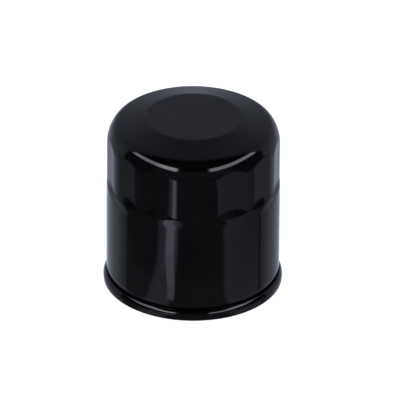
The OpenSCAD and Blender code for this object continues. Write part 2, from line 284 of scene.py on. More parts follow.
def grey(level, tint=(1, 1, 1)):
    return tuple(level * t for t in tint) + (1,)


def black_paint():
    """Gloss black enamel: faint orange peel, a few fine dust nibs, and duller where the seam rubs."""
    s = Surface("black_paint")
    s.bump(s.noise(9.0, 1.0), 0.010)
    s.bump(s.noise(1.3, 1.5), 0.0007)
    nib = s.ranged(s.speckle(7.0), 0.0, 0.03, 1.0, 0.0)
    s.bump(nib, 0.01)
    r, z, _ = s.polar()
    rim = s.ranged(r, SEAM_R - 0.46, SEAM_R - 0.06, 0.0, 1.0)
    seam = s.math("MULTIPLY", rim, s.ranged(z, SEAM_LOW + 1.0, SEAM_LOW + 0.2, 0.0, 1.0))
    rub = s.math("MULTIPLY", seam, s.ranged(s.noise(1.0, 4.0), 0.45, 0.6, 0.0, 1.0))
    cloud = s.ranged(s.noise(14.0, 3.0), 0.3, 0.7, 0.0, 1.0)
    colour = s.mixed(cloud, grey(0.0016, (1.0, 1.0, 1.12)), grey(0.0026, (1.0, 1.0, 1.06)))
    colour = s.mixed(s.math("MULTIPLY", rub, 0.5), colour, grey(0.03))
    roughness = s.ranged(s.noise(0.8, 3.0), 0.3, 0.7, 0.055, 0.085)
    roughness = s.math("ADD", roughness, s.math("MULTIPLY", rub, 0.2))
    return s.finish(colour, roughness, IOR=1.5)


def bright_steel(name, dark, light, rough, grain=0.25, stain=0.15):
    """Bare, tinned or phosphated sheet steel: fine grain round the axis and cloudy staining."""
    s = Surface(name)
    lines = s.around(grain, 4.0)
    s.bump(lines, 0.004)
    s.bump(s.noise(0.5, 3.0), 0.002)
    cloud = s.ranged(s.noise(6.0, 4.0), 0.35, 0.65, 0.0, 1.0)
    colour = s.mixed(s.ranged(lines, 0.3, 0.7, 0.0, 1.0), dark, light)
    colour = s.mixed(s.math("MULTIPLY", cloud, stain), colour, grey(dark[0] * 0.5, (1.0, 0.92, 0.8)))
    roughness = s.ranged(s.noise(1.2, 4.0), 0.3, 0.7, rough - 0.06, rough + 0.08)
    return s.finish(colour, roughness, Metallic=1.0)


def rubber(name, dark, light, rough=0.55):
    """Moulded rubber: fine pores, a bloom of lighter dust and flow marks round the axis."""
    s = Surface(name)
    s.bump(s.noise(0.25, 4.0), 0.006)
    s.bump(s.around(0.8, 2.0), 0.008)
    bloom = s.ranged(s.noise(2.5, 5.0), 0.42, 0.7, 0.0, 1.0)
    pores = s.ranged(s.speckle(0.6), 0.0, 0.2, 0.6, 1.0)
    colour = s.mixed(s.math("MULTIPLY", bloom, pores), dark, light)
    roughness = s.ranged(s.noise(0.9, 3.0), 0.3, 0.7, rough - 0.1, rough + 0.12)
    return s.finish(colour, roughness, IOR=1.52)


def filter_paper():
    """Resin-treated paper: tangled fibres, darker resin spots and a dry, dull surface."""
    s = Surface("filter_paper")
    fibres = s.noise(0.16, 5.0, (1, 1, 6), 0.7)
    cross = s.noise(0.2, 5.0, (4, 4, 1), 0.7)
    s.bump(s.math("ADD", fibres, cross), 0.03)
    spots = s.ranged(s.noise(0.9, 6.0), 0.52, 0.75, 0.0, 0.7)
    colour = s.mixed(s.ranged(fibres, 0.3, 0.7, 0.0, 1.0), (0.60, 0.40, 0.17, 1), (0.80, 0.63, 0.36, 1))
    colour = s.mixed(spots, colour, (0.42, 0.24, 0.09, 1))
    return s.finish(colour, s.ranged(cross, 0.3, 0.7, 0.8, 0.95), IOR=1.4)


def soft_plastic(name, dark, light, rough):
    """Cured plastisol or sealing compound: a poured surface with small bubbles and ripples."""
    s = Surface(name)
    s.bump(s.noise(1.6, 2.0), 0.03)
    s.bump(s.ranged(s.speckle(1.1), 0.0, 0.18, 0.0, 1.0), 0.02)
    colour = s.mixed(s.ranged(s.noise(3.0, 4.0), 0.3, 0.7, 0.0, 1.0), dark, light)
    return s.finish(colour, s.ranged(s.noise(1.0, 2.0), 0.3, 0.7, rough - 0.08, rough + 0.08), IOR=1.5)


PAINT = black_paint()
PLATE_STEEL = bright_steel("phosphated_steel", grey(0.30), grey(0.44, (1.0, 1.0, 0.97)), 0.42, grain=0.35)
TINNED = bright_steel("tinned_steel", grey(0.50), grey(0.66, (1.0, 1.0, 0.98)), 0.28)
SPRING_STEEL = bright_steel(
    "spring_steel", grey(0.24, (1.0, 0.98, 0.95)), grey(0.38), 0.32, grain=0.15, stain=0.3)
GASKET = rubber("gasket_rubber", grey(0.012), grey(0.035, (1.0, 1.0, 1.04)))
VALVE = rubber("valve_rubber", (0.075, 0.035, 0.024, 1), (0.12, 0.07, 0.05, 1), 0.45)
PAPER = filter_paper()
PLASTISOL = soft_plastic("plastisol", (0.36, 0.07, 0.05, 1), (0.50, 0.12, 0.09, 1), 0.35)
COMPOUND = soft_plastic("sealing_compound", (0.52, 0.44, 0.32, 1), (0.66, 0.60, 0.47, 1), 0.6)

# ---- Meshes ----

SHARP = 35.0  # degrees between two faces from which their edge is sharp
SHEET_SHARP = 50.0  # the same for thin sheets with tight bends


def ring_faces(rows, columns, closed_rows):
    """Quads of a grid that is closed round its columns, and round its rows too if closed_rows."""
    return [
        (i * columns + j, i * columns + (j + 1) % columns,
         (i + 1) % rows * columns + (j + 1) % columns, (i + 1) % rows * columns + j)
        for i in range(rows if closed_rows else rows - 1) for j in range(columns)
    ]


def tube_faces(rings, sides):
    """The faces of a closed tube made of rings of points: its walls and its two ends."""
    far = (rings - 1) * sides
    return ring_faces(rings, sides, False) + [tuple(range(sides)), tuple(reversed(range(far, far + sides)))]


def put(name, data):
    """A new object in the scene."""
    made = bpy.data.objects.new(name, data)
    bpy.context.scene.collection.objects.link(made)
    return made


def mesh_object(name, points, faces):
    """A new object with a mesh, from points in millimetres."""
    mesh = bpy.data.meshes.new(name)
    mesh.from_pydata([(x * MM, y * MM, z * MM) for x, y, z in points], [], faces)
    return put(name, mesh)


def piece(name, points, faces, material, slot, nodes=(), body="casing", sharp=SHARP):
    """A mesh piece from points in millimetres, smooth but for its sharp edges.
    It stands for the CAD nodes, and rides on the body unless that is None."""
    made = mesh_object(name, points, faces)
    made.data.materials.append(material)
    tidy_mesh(made, sharp)
    if nodes:
        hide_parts(*nodes)
    if body:
        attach(made, body)
    return made


def tidy_mesh(made, sharp):
    """Merges doubled points, turns every face outwards and shades it smooth up to the sharp angle."""
    b = bmesh.new()
    b.from_mesh(made.data)
    bmesh.ops.remove_doubles(b, verts=b.verts, dist=1e-7)
    bmesh.ops.recalc_face_normals(b, faces=b.faces)
    b.to_mesh(made.data)
    b.free()
    for face in made.data.polygons:
        face.use_smooth = True
    made.data.set_sharp_from_angle(angle=math.radians(sharp))


def turned(name, outline, segments, material, slot, shape=None, closed=True, **more):
    """An outline turned about the axis. shape(radius, height, angle) gives a point's radius and height."""
    points = []
    for r, z in outline:
        for j in range(segments):
            angle = 2 * math.pi * j / segments
            radius, height = shape(r, z, angle) if shape else (r, z)
            points.append((radius * math.cos(angle), radius * math.sin(angle), height))
    return piece(name, points, ring_faces(len(outline), segments, closed), material, slot, **more)


def apply_modifiers(made, sharp=SHARP):
    """Makes a piece's modifiers part of its mesh."""
    bpy.context.view_layer.update()
    evaluated = made.evaluated_get(bpy.context.evaluated_depsgraph_get())
    mesh = bpy.data.meshes.new_from_object(evaluated)
    made.modifiers.clear()
    made.data = mesh
    tidy_mesh(made, sharp)


def subtract(made, points, faces):
    """Cuts a closed shape out of a piece."""
    cutter = mesh_object("cutter", points, faces)
    tidy_mesh(cutter, SHARP)
    difference = made.modifiers.new("cut", "BOOLEAN")
    difference.operation = "DIFFERENCE"
    difference.object = cutter
    apply_modifiers(made)
    bpy.data.objects.remove(cutter)


def drill(made, outline, places):
    """Cuts round holes in a piece. The outline is turned about the upright line through each place."""
    segments = 40
    points, faces = [], []
    for x, y, z in places:
        first = len(points)
        for r, h in outline:
            for j in range(segments):
                a = 2 * math.pi * j / segments
                points.append((x + r * math.cos(a), y + r * math.sin(a), z + h))
        faces += [tuple(first + k for k in f) for f in tube_faces(len(outline), segments)]
    subtract(made, points, faces)


def on_circle(count, radius, height):
    """Places spread evenly round the axis."""
    angles = [2 * math.pi * i / count for i in range(count)]
    return [(radius * math.cos(a), radius * math.sin(a), height) for a in angles]


def wire(name, centre, half, turns, per_turn, sides, material, slot, flat_ends, **more):
    """A wire of that half thickness, wound round the axis. centre(turn) gives its (radius, height).
    flat_ends is the lowest and highest level that the grinding of its ends left."""
    rings = round(turns * per_turn)
    points = []
    for i in range(rings + 1):
        turn = i / per_turn
        r, z = centre(turn)
        for j in range(sides):
            a = 2 * math.pi * j / sides
            radius = r + half * math.cos(a)
            height = min(max(z + half * math.sin(a), flat_ends[0]), flat_ends[1])
            spin = 2 * math.pi * turn
            points.append((radius * math.cos(spin), radius * math.sin(spin), height))
    return piece(name, points, tube_faces(rings + 1, sides), material, slot, **more)


def bent_sheet(path, thickness, levels):
    """Points and faces of a sheet whose edge view follows path, drawn out through the levels."""
    outline = sheet(path, thickness)
    count = len(outline)
    points = [(x, y, z) for z in levels for x, y in outline]
    faces = ring_faces(len(levels), count, False)
    for first in (0, (len(levels) - 1) * count):
        for i in range(len(path) - 1):
            faces.append((first + i, first + i + 1, first + count - 2 - i, first + count - 1 - i))
    return points, faces


# ---- The can: crown, sloping ring, shoulder, flats, round body and the hook in the seam ----

NECK_R = BODY_R - 0.5
WALL_R = NECK_R - CAN_T / 2
COVER_R = NECK_R + PLAY + LID_T / 2
SEAMING_R = SEAM_R - LID_T / 2
HOOK_R = (COVER_R + SEAMING_R) / 2
CHUCK_R = NECK_R - CAN_T - TOUCH - LID_T / 2
HOOK_TURN = (HOOK_R - WALL_R) / 2
HOOK_TURN_Z = low("canister") + CAN_T / 2 + HOOK_TURN

# The seaming wall leans in to the fold at the seam's top
LEAN_R, LEAN = 3 - LID_T / 2, 33
FOLD_R = 0.3
FOLD_Z = SEAM_TOP - LID_T / 2 - FOLD_R
LEAN_SIN, LEAN_COS = math.sin(math.radians(LEAN)), math.cos(math.radians(LEAN))
LEAN_IN = SEAMING_R - LEAN_R * (1 - LEAN_COS) - COVER_R - FOLD_R * (1 + LEAN_COS)
LEAN_Z = FOLD_Z + FOLD_R * LEAN_SIN - LEAN_IN * LEAN_COS / LEAN_SIN - LEAN_R * LEAN_SIN
HOOK_TOP = LEAN_Z + 0.85

# The neck: an arc in from the body, and a smaller one back to the upright
NECK_TOP, NECK_ANGLE, NECK_BEND = SEAM_TOP + 2.9, 20, 6
NECK_BACK = (BODY_R - NECK_R) / (1 - math.cos(math.radians(NECK_ANGLE))) - NECK_BEND
NECK_LOW = NECK_TOP - (NECK_BEND + NECK_BACK) * math.sin(math.radians(NECK_ANGLE))
CAN_JOIN_Z = NECK_TOP + 1  # where the hooked edge of the can meets its wall


def shoulder(steps):
    """An elliptical arc from the sloping ring to the body, and the height where the body begins."""
    slope = math.tan(math.radians(CROWN_SLOPE))
    start = math.atan2(SHOULDER_H, SHOULDER_W * slope)
    start_r = BODY_R - SHOULDER_W + SHOULDER_W * math.cos(start)
    start_z = HEIGHT - (start_r - CROWN_R) * slope
    centre = (BODY_R - SHOULDER_W, start_z - SHOULDER_H * math.sin(start))
    return arc(centre, (SHOULDER_W, SHOULDER_H), math.degrees(start), 0, steps), centre[1]


def can_line(fine):
    """The can's outside, from the crown's middle down to the neck. fine is 2 outside and 1 inside."""
    bend = 4.0
    bend_r = CROWN_R - bend * math.tan(math.radians(CROWN_SLOPE / 2))
    crown_bend = arc((bend_r, HEIGHT - bend), bend, 90, 90 - CROWN_SLOPE, 6)
    curve, body_top = shoulder(28 * fine)
    ramp_top, wave_low = FLAT_LOW + FLAT_RAMP + 1, WAVE_Z - WAVE_DOWN
    return (
        line((0, HEIGHT), crown_bend[0], 6) + crown_bend[:-1]
        + line(crown_bend[-1], curve[0], 10) + curve[:-1]
        + line((BODY_R, body_top), (BODY_R, ramp_top), 6 * fine)
        + line((BODY_R, ramp_top), (BODY_R, wave_low), 22 * fine)
        + line((BODY_R, wave_low), (BODY_R, CAN_JOIN_Z), 8)
    )


def pressed(r, z, angle, inset):
    """A point's radius where the flats are pressed in: the ring of rounded flats, the cone that ends it
    below, and the slight wave in the wall under them. A flat's middle faces -Y."""
    half = math.pi / FLAT_COUNT
    off = abs((angle + math.pi / 2 + half) % (2 * half) - half)
    straight = math.atan((FLAT_R - RIDGE_R) * math.tan(half) / FLAT_R)
    if off <= straight:
        ring = FLAT_R / math.cos(off)
    else:
        centre = (FLAT_R - RIDGE_R) / math.cos(half)
        beta = half - off
        ring = centre * math.cos(beta) + math.sqrt(RIDGE_R**2 - (centre * math.sin(beta)) ** 2)
    cone = BODY_R + (BODY_R - FLAT_R) / FLAT_RAMP * (FLAT_LOW - z)
    above = z - WAVE_Z
    wave = WAVE_DEPTH * hump(above, WAVE_UP if above > 0 else WAVE_DOWN) * math.cos(math.pi * off / half)
    ramp_bend, edge_bend = 0.2, 0.15
    return smooth_min(r, smooth_max(ring, cone, ramp_bend) - inset, edge_bend) + wave


def canister():
    hook = (
        [(BODY_R - CAN_T / 2, CAN_JOIN_Z)]
        + arc((BODY_R - NECK_BEND, NECK_TOP), NECK_BEND - CAN_T / 2, 0, -NECK_ANGLE, 16)
        + arc((NECK_R + NECK_BACK, NECK_LOW), NECK_BACK + CAN_T / 2, 180 - NECK_ANGLE, 180, 8)[1:]
        + line((WALL_R, NECK_LOW - 0.3), (WALL_R, HOOK_TURN_Z), 4)
        + arc((WALL_R + HOOK_TURN, HOOK_TURN_Z), HOOK_TURN, 180, 360, 12)
        + [(HOOK_R, HOOK_TOP)]
    )
    outside_rows = can_line(2) + offset(hook, CAN_T / 2)
    inside_line = offset(can_line(1) + [(BODY_R, CAN_JOIN_Z)], -CAN_T)[:-1]
    inside_rows = (inside_line + offset(hook, -CAN_T / 2))[::-1]
    segments = FLAT_COUNT * 22
    points = []
    for rows, inset in ((outside_rows, 0.0), (inside_rows, CAN_T)):
        for r, z in rows:
            for j in range(segments):
                angle = 2 * math.pi * j / segments
                radius = max(r, 0.0)
                if r > PRESSED_R and z > WAVE_Z - WAVE_DOWN:
                    radius = pressed(r, z, angle, inset)
                points.append((radius * math.cos(angle), radius * math.sin(angle), z))
    faces = ring_faces(len(outside_rows) + len(inside_rows), segments, False)
    piece("canister_shell", points, faces, PAINT, "black_paint", ["canister"], sharp=SHEET_SHARP)


# ---- The lid: welded ring, rib, gasket channel, and the fold that makes the seam ----

LID_Z = PLATE_LOW - LID_T / 2


def seam_lid():
    corner = 0.5
    rib_r, rib_half, rib_low = GASKET_IN - 0.9, 0.4, 2.8
    floor = SEAM_LOW + LID_T / 2
    path = (
        line((21.0, LID_Z), (rib_r - rib_half - corner, LID_Z), 18)
        + arc((rib_r - rib_half - corner, LID_Z - corner), corner, 90, 0, 6)
        + arc((rib_r, rib_low), rib_half, 180, 360, 12)
        + arc((rib_r + rib_half + corner, LID_Z - corner), corner, 180, 90, 6)
        + arc((CHUCK_R - 0.75, LID_Z - 0.75), 0.75, 90, 0, 8)
        + arc((CHUCK_R + corner, floor + corner), corner, 180, 270, 6)
        + arc((SEAMING_R - corner, floor + corner), corner, 270, 360, 8)
        + arc((SEAMING_R - LEAN_R, LEAN_Z), LEAN_R, 0, LEAN, 14)
        + arc((COVER_R + FOLD_R, FOLD_Z), FOLD_R, LEAN, 180, 14)
        + [(COVER_R, HOOK_TURN_Z + 0.3)]
    )
    weld_r, weld_half, weld_depth = 23.2, 1.3, 0.14

    def spot_welds(r, z, angle):
        step = 2 * math.pi / INLET_COUNT
        off = (angle % step) - step / 2
        away = math.hypot(r * math.cos(off) - weld_r, r * math.sin(off))
        if z < LID_Z and away < weld_half:
            z += weld_depth * hump(away, weld_half)
        return r, z

    turned("seam_lid_shell", sheet(path, LID_T), 360, PAINT, "black_paint", spot_welds, nodes=["seam_lid"],
           sharp=SHEET_SHARP)


def seam_compound():
    z0, z1 = low("seam_compound"), top("seam_compound")
    r1 = outside("seam_compound")
    r0 = r1 - CAN_T + 2 * PLAY
    outline = rounded([(r0, z0), (r1, z0), (r1, z1), (r0, z1)], 0.08, 3)

    def uneven(r, z, angle):
        return r, z - 0.03 * (z - z0) / (z1 - z0) * (1 + math.sin(37 * angle) * math.sin(11 * angle + 1))

    turned("seam_bead", outline, 240, COMPOUND, "sealing_compound", uneven, nodes=["seam_compound"])


# ---- Base plate and gasket ----


def thread_depth(z, angle):
    """How far the thread's groove is cut behind its crests, for a right-hand metric thread."""
    turn = (z / THREAD_PITCH - angle / (2 * math.pi)) % 1
    away = abs(turn - 0.5) * THREAD_PITCH
    crest, root = 0.375 * THREAD_PITCH, 0.0625 * THREAD_PITCH
    return (THREAD_MAJOR_R - THREAD_R) * min(max((crest - away) / (crest - root), 0.0), 1.0)


def threaded_plate():
    entry, leave = 1.0, 0.7
    face = rounded(
        [(THREAD_MAJOR_R + 1.5, PLATE_LOW), (PLATE_R, PLATE_LOW), (PLATE_R, PLATE_TOP), (HUB_R, PLATE_TOP),
         (HUB_R, HUB_TOP), (THREAD_MAJOR_R + 1.5, HUB_TOP)],
        [0, 0.3, 0.3, 1.2, 0.4, 0], 6)
    bore = line((THREAD_R, HUB_TOP), (THREAD_R, PLATE_LOW), 96) + [(THREAD_R, PLATE_LOW)]

    def thread(r, z, angle):
        if r > THREAD_R:
            return r, z
        chamfer = THREAD_R + max(leave - (HUB_TOP - z), entry - (z - PLATE_LOW), 0.0)
        return max(chamfer, THREAD_R + thread_depth(z, angle)), z

    made = turned("base_plate", face + bore, 144, PLATE_STEEL, "phosphated_steel", thread,
                  nodes=["threaded_plate"])
    middle = (PLATE_LOW + PLATE_TOP) / 2
    deep = (PLATE_TOP - PLATE_LOW) / 2
    hole = [(INLET_R + 1.2, -deep - 1), (INLET_R + 0.2, -deep), (INLET_R, -deep + 0.2), (INLET_R, deep - 0.2),
            (INLET_R + 0.2, deep), (INLET_R + 1.2, deep + 1)]
    drill(made, hole, on_circle(INLET_COUNT, INLET_AT, middle))


def sealing_gasket():
    high = top("sealing_gasket")
    corners = [(GASKET_IN, 0), (GASKET_OUT, 0), (GASKET_OUT, high), (GASKET_IN, high)]
    outline = rounded(corners, [0.5, 0.5, 0.6, 0.6], 6)
    sides = line((GASKET_OUT, 0.6), (GASKET_OUT, high - 0.7), 16)
    at = next(i for i, p in enumerate(outline) if p[0] > GASKET_OUT - 1e-6 and p[1] > 0.4)
    outline = outline[:at + 1] + sides[1:] + outline[at + 1:]
    lug_reach = outside("sealing_gasket") - GASKET_OUT
    lug_z = high / 2 + 0.6

    def lugs(r, z, angle):
        step = 2 * math.pi / GASKET_LUGS
        off = ((angle + step / 2) % step - step / 2) * GASKET_OUT
        if r > GASKET_OUT - 0.01:
            r += lug_reach * hump(off, 1.9) * hump(z - lug_z, 0.9) ** 0.5
        return r, z

    turned("gasket", outline, 360, GASKET, "gasket_rubber", lugs, nodes=["sealing_gasket"])


# ---- Drain-back valve: one moulding, clamped round the hub, whose skirt covers the inlet holes ----


def drain_valve():
    under = low("lower_end_cap")
    root_r, lip_r = 15.1, outside("drain_valve_skirt")
    flange_in = THREAD_R + 1.2
    skirt_top = top("drain_valve_skirt")
    bore = HUB_R + TOUCH
    corners = [
        (flange_in, HUB_TOP), (bore, HUB_TOP), (bore, PLATE_TOP + 1.9), (root_r, PLATE_TOP + 2.0),
        (lip_r - 2.2, PLATE_TOP + 0.35), (lip_r - 1.6, PLATE_TOP), (lip_r, PLATE_TOP),
        (lip_r, PLATE_TOP + 0.5), (lip_r - 1, PLATE_TOP + 1.1), (root_r + 1.2, skirt_top),
        (root_r - 0.1, skirt_top + 0.2),
        (root_r - 0.1, HUB_TOP - 0.2), (root_r + 0.5, HUB_TOP + 0.3), (root_r + 0.5, under),
        (flange_in, under)]
    radii = [0.3, 0.2, 0.3, 0.5, 0.2, 0.2, 0.15, 0.15, 0.6, 0.5, 0.4, 0.2, 0.2, 0.3, 0.3]
    made = turned("drain_valve", rounded(corners, radii, 5), 144, VALVE, "valve_rubber",
                  nodes=["drain_valve_collar", "drain_valve_skirt"], body=None)
    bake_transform(made)


# ---- Element ----


def end_cap(name, node, inner, way):
    """A pressed cap with a rolled rim that points up (way 1) or down (way -1)."""
    flat = (low(node) if way > 0 else top(node)) + way * CAP_T / 2
    rim = (top(node) if way > 0 else low(node))
    middle = outside(node) - CAP_T / 2
    side = -90 if way > 0 else 90
    path = (
        line((inner, flat), (middle - 0.8, flat), 12)
        + arc((middle - 0.8, flat + way * 0.8), 0.8, side, 0, 6)
        + line((middle, flat + way * 0.8), (middle, rim), 4)[1:] + [(middle, rim)]
    )
    turned(name, sheet(path, CAP_T), 144, TINNED, "tinned_steel", nodes=[node])


def bond_ring(name, node):
    """Plastisol that has crept a little up and down between the pleats."""
    z0, z1, r1 = low(node), top(node), outside(node)
    r0 = TUBE_R + TOUCH
    outline = rounded([(r0, z0), (r1, z0), (r1, z1), (r0, z1)], 0.15, 3)

    def crept(r, z, angle):
        return r - 0.06 * (1 + math.cos(23 * angle)) * (r > 20), z

    turned(name, outline, 184, PLASTISOL, "plastisol", crept, nodes=[node])


def centre_tube():
    """A perforated tube: a grid of cells, each with a round hole, rolled up and given its thickness."""
    rows, per_row, hole_r, wall = 8, 8, 1.8, 0.5
    z0, z1, radius = low("centre_tube"), top("centre_tube"), outside("centre_tube")
    wide, high = 2 * math.pi * radius / per_row, (z1 - z0) / rows
    corners = [(-wide / 2, -high / 2), (wide / 2, -high / 2), (wide / 2, high / 2), (-wide / 2, high / 2)]
    border = []
    for start, end, steps in zip(corners, corners[1:] + corners[:1], (12, 6, 12, 6)):
        border += line(start, end, steps)
    shares = (0.0, 0.35, 0.75, 1.0)  # of the way from a cell's border to its hole
    points, faces = [], []
    for row in range(rows):
        for k in range(per_row):
            first = len(points)
            middle_u = (k + 0.5 * (row % 2)) * wide
            middle_z = z0 + (row + 0.5) * high
            for share in shares:
                for x, y in border:
                    scale = hole_r / math.hypot(x, y)
                    u = x * (1 - share) + x * scale * share
                    v = y * (1 - share) + y * scale * share
                    turn = (middle_u + u) / radius
                    points.append((radius * math.cos(turn), radius * math.sin(turn), middle_z + v))
            faces += [tuple(first + i for i in f) for f in ring_faces(len(shares), len(border), False)]
    made = piece("tube", points, faces, TINNED, "tinned_steel", ["centre_tube"], sharp=SHEET_SHARP)
    thick = made.modifiers.new("thickness", "SOLIDIFY")
    thick.thickness = wall * MM
    thick.offset = -1
    apply_modifiers(made, SHEET_SHARP)


def media_path():
    """The paper's middle line: pleats round the tube, with both ends side by side at the clip."""
    count, seam = 44, math.radians(9)
    r_in, r_out = 16.3 + PAPER_T / 2, outside("pleated_media") - PAPER_T / 2
    half_tip, gap = 0.42, PAPER_T / 2 + 0.03
    pitch = (2 * math.pi - seam) / count

    def spoke(r, angle, aside):
        return (r * math.cos(angle) - aside * math.sin(angle), r * math.sin(angle) + aside * math.cos(angle))

    path = [spoke(PAPER_END_R, 0, gap), spoke(r_in, 0, gap), spoke(r_in, seam / 2, 0)]
    for k in range(count):
        at = seam / 2 + k * pitch
        path += [spoke(r_out, at + pitch / 2, -half_tip), spoke(r_out, at + pitch / 2, half_tip)]
        if k < count - 1:
            path += [spoke(r_in, at + pitch, -half_tip), spoke(r_in, at + pitch, half_tip)]
    return path + [spoke(r_in, -seam / 2, 0), spoke(r_in, 0, -gap), spoke(PAPER_END_R, 0, -gap)]


def element():
    """The pleats, which sway a little between the caps, and the clip on the paper's joint."""
    z0, z1 = low("pleated_media"), top("pleated_media")
    levels = [z0 + (z1 - z0) * i / 16 for i in range(17)]
    points, faces = bent_sheet(rounded(media_path(), 0.3, 2, closed=False), PAPER_T, levels)
    limit = outside("pleated_media")
    swayed = []
    for x, y, z in points:
        sway = 1 + 0.003 * math.sin(math.pi * (z - z0) / (z1 - z0)) * math.sin(19 * math.atan2(y, x))
        sway *= min(1, limit / (math.hypot(x, y) * sway))
        swayed.append((x * sway, y * sway, z))
    piece("pleats", swayed, faces, PAPER, "filter_paper", ["pleated_media"])

    clip_t = 0.3
    leg = PAPER_T + 0.06 + clip_t / 2
    far = PAPER_END_R + 0.1 + clip_t / 2
    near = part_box("media_clip")[0].x / MM
    path = rounded([(near, -leg), (far, -leg), (far, leg), (near, leg)], [0, 0.3, 0.3, 0], 4, closed=False)
    points, faces = bent_sheet(path, clip_t, [z0 + (z1 - z0) * i / 8 for i in range(9)])
    piece("clip", points, faces, TINNED, "tinned_steel", ["media_clip"])


# ---- Relief valve ----


def relief_valve():
    cage_z0, cage_z1 = low("relief_valve_cage"), top("relief_valve_cage")
    wall, cage_r, flange_r = 0.5, 9.4, outside("relief_valve_cage")
    stem_r, stem_neck_r = 1.4, 1.15
    middle = cage_r - wall / 2
    flange_z = cage_z1 - wall / 2
    floor_z = cage_z0 + wall / 2
    path = (
        [(flange_r, flange_z)] + arc((middle + 0.6, flange_z - 0.6), 0.6, 90, 180, 6)
        + line((middle, flange_z - 1), (middle, floor_z + 0.8), 12)
        + arc((middle - 0.8, floor_z + 0.8), 0.8, 0, -90, 6) + [(stem_r + 0.1, floor_z)]
    )
    made = turned("relief_cage", sheet(path, wall), 96, TINNED, "tinned_steel", nodes=["relief_valve_cage"])
    window = rounded([(-3, 2.6), (3, 2.6), (3, 8.1), (-3, 8.1)], 0.9, 5)
    cut_windows(made, window, cage_z0 + wall, cage_r)

    z0, z1, r1 = low("relief_valve_seal"), top("relief_valve_seal"), outside("relief_valve_seal")
    seal_in = 4.6
    outline = rounded([(seal_in, z0), (r1, z0), (r1, z1), (seal_in, z1)], 0.2, 4)
    turned("relief_seal", outline, 96, GASKET, "gasket_rubber", nodes=["relief_valve_seal"],
           body="relief_valve")

    z0, z1, r1 = low("relief_valve_disc"), top("relief_valve_disc"), outside("relief_valve_disc")
    hole_r = stem_neck_r + TOUCH
    outline = rounded([(hole_r, z0), (r1, z0), (r1, z1), (hole_r, z1)], [0.05, 0.25, 0.1, 0.05], 4)
    turned("relief_disc", outline, 96, TINNED, "tinned_steel", nodes=["relief_valve_disc"],
           body="relief_valve")

    foot, head, head_r = low("relief_valve_stem"), top("relief_valve_stem"), outside("relief_valve_stem")
    corners = [(0, foot), (stem_r, foot), (stem_r, z0), (stem_neck_r, z0), (stem_neck_r, z1),
               (head_r, z1), (head_r, head), (0, head)]
    outline = rounded(corners, [0, 0.3, 0.05, 0, 0, 0.1, 0.45, 0], 5)
    turned("relief_stem", outline, 64, TINNED, "tinned_steel", nodes=["relief_valve_stem"],
           body="relief_valve", closed=False)

    half, mean_r, turns = 0.45, 5.4, 6
    bottom, high = low("relief_valve_spring"), top("relief_valve_spring")
    closed = 2.12 * half
    active = (high - bottom - 2 * half - 2 * closed) / (turns - 2)

    def coil(turn):
        closed_turns = min(turn, 1) + max(turn - turns + 1, 0)
        active_turns = max(min(turn, turns - 1) - 1, 0)
        return mean_r, bottom + half + closed_turns * closed + active_turns * active

    spring = wire("relief_spring", coil, half, turns, 48, 14, SPRING_STEEL, "spring_steel",
                  (bottom, high), nodes=["relief_valve_spring"])
    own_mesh(spring)


def cut_windows(made, window, floor, radius):
    """Cuts the cage's four windows, drawn as (across, height above the floor) and pushed through its wall."""
    for i in range(4):
        angle = math.pi / 4 + i * math.pi / 2
        out = Vector((math.cos(angle), math.sin(angle), 0))
        side = Vector((-math.sin(angle), math.cos(angle), 0))
        near, far = (
            [out * reach + side * x + Vector((0, 0, floor + z)) for x, z in window]
            for reach in (radius - 3, radius + 3)
        )
        subtract(made, near + far, tube_faces(2, len(window)))


# ---- The whole filter ----

canister()
seam_lid()
seam_compound()
threaded_plate()
sealing_gasket()
drain_valve()
end_cap("lower_cap", "lower_end_cap", 11.2, 1)
end_cap("upper_cap", "upper_end_cap", 4.2, -1)
bond_ring("lower_bond", "lower_bond_ring")
bond_ring("upper_bond", "upper_bond_ring")
centre_tube()
element()
relief_valve()
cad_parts["support_spring"].data.materials.clear()
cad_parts["support_spring"].data.materials.append(SPRING_STEEL)

# ---- Studio ----

CAMERA_AZIMUTH, CAMERA_ELEVATION, CAMERA_ROLL = -1.5, 29.7, 0.4  # degrees
CAMERA_DISTANCE = 2.5
WARM, COOL, WHITE = (1.02, 0.97, 1.25, 1), (0.92, 1.0, 1.22, 1), (0.98, 1.0, 1.12, 1)


def camera():
    """A long lens at the photograph's angle."""
    data = bpy.data.cameras.new("camera")
    made = put("camera", data)
    data.sensor_width = 36
    data.lens = 592.5
    data.clip_start, data.clip_end = 0.1, 50
    a, e = math.radians(CAMERA_AZIMUTH), math.radians(CAMERA_ELEVATION)
    back = Vector((math.sin(a) * math.cos(e), -math.cos(a) * math.cos(e), math.sin(e)))
    turn = (-back).to_track_quat("-Z", "Y")
    right, up = turn @ Vector((1, 0, 0)), turn @ Vector((0, 1, 0))
    target = Vector((0, 0, 0.035)) + right * 0.00259 - up * 0.00035
    made.location = target + back * CAMERA_DISTANCE
    made.rotation_mode = "QUATERNION"
    made.rotation_quaternion = Quaternion(back, math.radians(CAMERA_ROLL)) @ turn
    bpy.context.scene.camera = made


def floor():
    """A plain white floor. It doesn't show in the gloss, where the table does."""
    half = 8000
    corners = [(-half, -half, 0), (half, -half, 0), (half, half, 0), (-half, half, 0)]
    made = mesh_object("floor", corners, [(0, 1, 2, 3)])
    white = Surface("floor").finish(grey(0.8), 0.9, Emission_Color=grey(1.0), Emission_Strength=0.95)
    made.data.materials.append(white)
    made.visible_glossy = False


